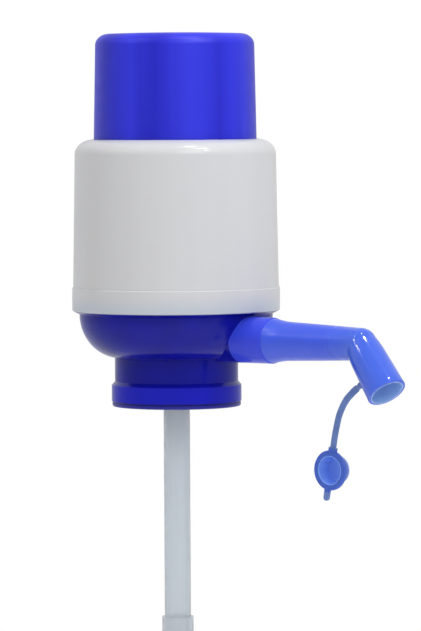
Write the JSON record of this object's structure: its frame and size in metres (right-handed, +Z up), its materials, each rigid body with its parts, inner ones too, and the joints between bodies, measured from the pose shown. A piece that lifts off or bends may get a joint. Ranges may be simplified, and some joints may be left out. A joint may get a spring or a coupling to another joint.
{
  "type": "water bottle hand pump",
  "caption": "Hand pump for a large water bottle: a press cap over a sprung bellows pushes air into the bottle and water up a suction tube to a capped spout.",
  "frame": {"origin": "centre of the bottle's rim, where the underside of the neck gasket sits on it", "axes": "+Z up along the pump's own axis, +X the way the spout leaves, at right angles to it"},
  "size_m": [0.1958, 0.104, 0.6066],
  "materials": {
    "cap_blue": "glossy, with faint upright streaks",
    "shell_white": "smooth satin gloss",
    "base_blue": "glossy",
    "ring_blue": "satin",
    "spout_blue": "high gloss",
    "strap_blue": "soft satin",
    "black_rubber": "matt",
    "valve_rubber": "matt",
    "inner_white": "plain moulded",
    "spring_steel": "drawn wire",
    "screw_steel": "zinc plated",
    "tube_clear": "milky, slightly see-through",
    "foot_blue": "glossy"
  },
  "bodies": {
    "base": {"outer_shell": "shell_white", "base_body": "base_blue", "neck_grip_ring": "ring_blue", "neck_gasket": "black_rubber", "bellows": "black_rubber", "return_spring": "spring_steel", "valve_plate": "inner_white", "bellows_bottom_ring": "inner_white", "base_screws": "screw_steel", "dip_tube_upper": "tube_clear", "dip_tube_middle": "tube_clear", "dip_tube_lower": "tube_clear", "inlet_foot": "foot_blue"},
    "press": {"press_cap": "cap_blue", "spring_plate": "inner_white", "bellows_top_ring": "inner_white", "top_screws": "screw_steel"},
    "spout_body": {"spout": "spout_blue", "spout_oring": "black_rubber"},
    "tether": {"tether_eye": "strap_blue", "cap_tether": "strap_blue", "dust_cap": "strap_blue"},
    "intake_disc": {"intake_valve": "valve_rubber"},
    "check_disc": {"check_valve": "valve_rubber"}
  },
  "joints": [
    {"name": "press", "type": "slide", "parent": "base", "child": "press", "axis": [0, 0, -1], "range_m": [0, 0.042], "stiffness_N_per_m": 800, "springref_m": -0.01, "deforming": ["bellows", "return_spring"]},
    {"name": "spout_turn", "type": "hinge", "parent": "base", "child": "spout_body", "pos_m": [0.0569, 0, 0.01465], "axis": [1, 0, 0], "range_deg": [-45, 45]},
    {"name": "tether_swing", "type": "hinge", "parent": "spout_body", "child": "tether", "pos_m": [0.11989, -0.00347, -0.00503], "axis": [0, 1, 0], "range_deg": [-25, 25]},
    {"name": "intake_valve_lift", "type": "slide", "parent": "press", "child": "intake_disc", "axis": [0, 0, -1], "range_m": [0, 0.0012], "stiffness_N_per_m": 20, "springref_m": -0.001},
    {"name": "check_valve_lift", "type": "slide", "parent": "base", "child": "check_disc", "axis": [0, 0, -1], "range_m": [0, 0.0012], "stiffness_N_per_m": 20, "springref_m": -0.001}
  ]
}
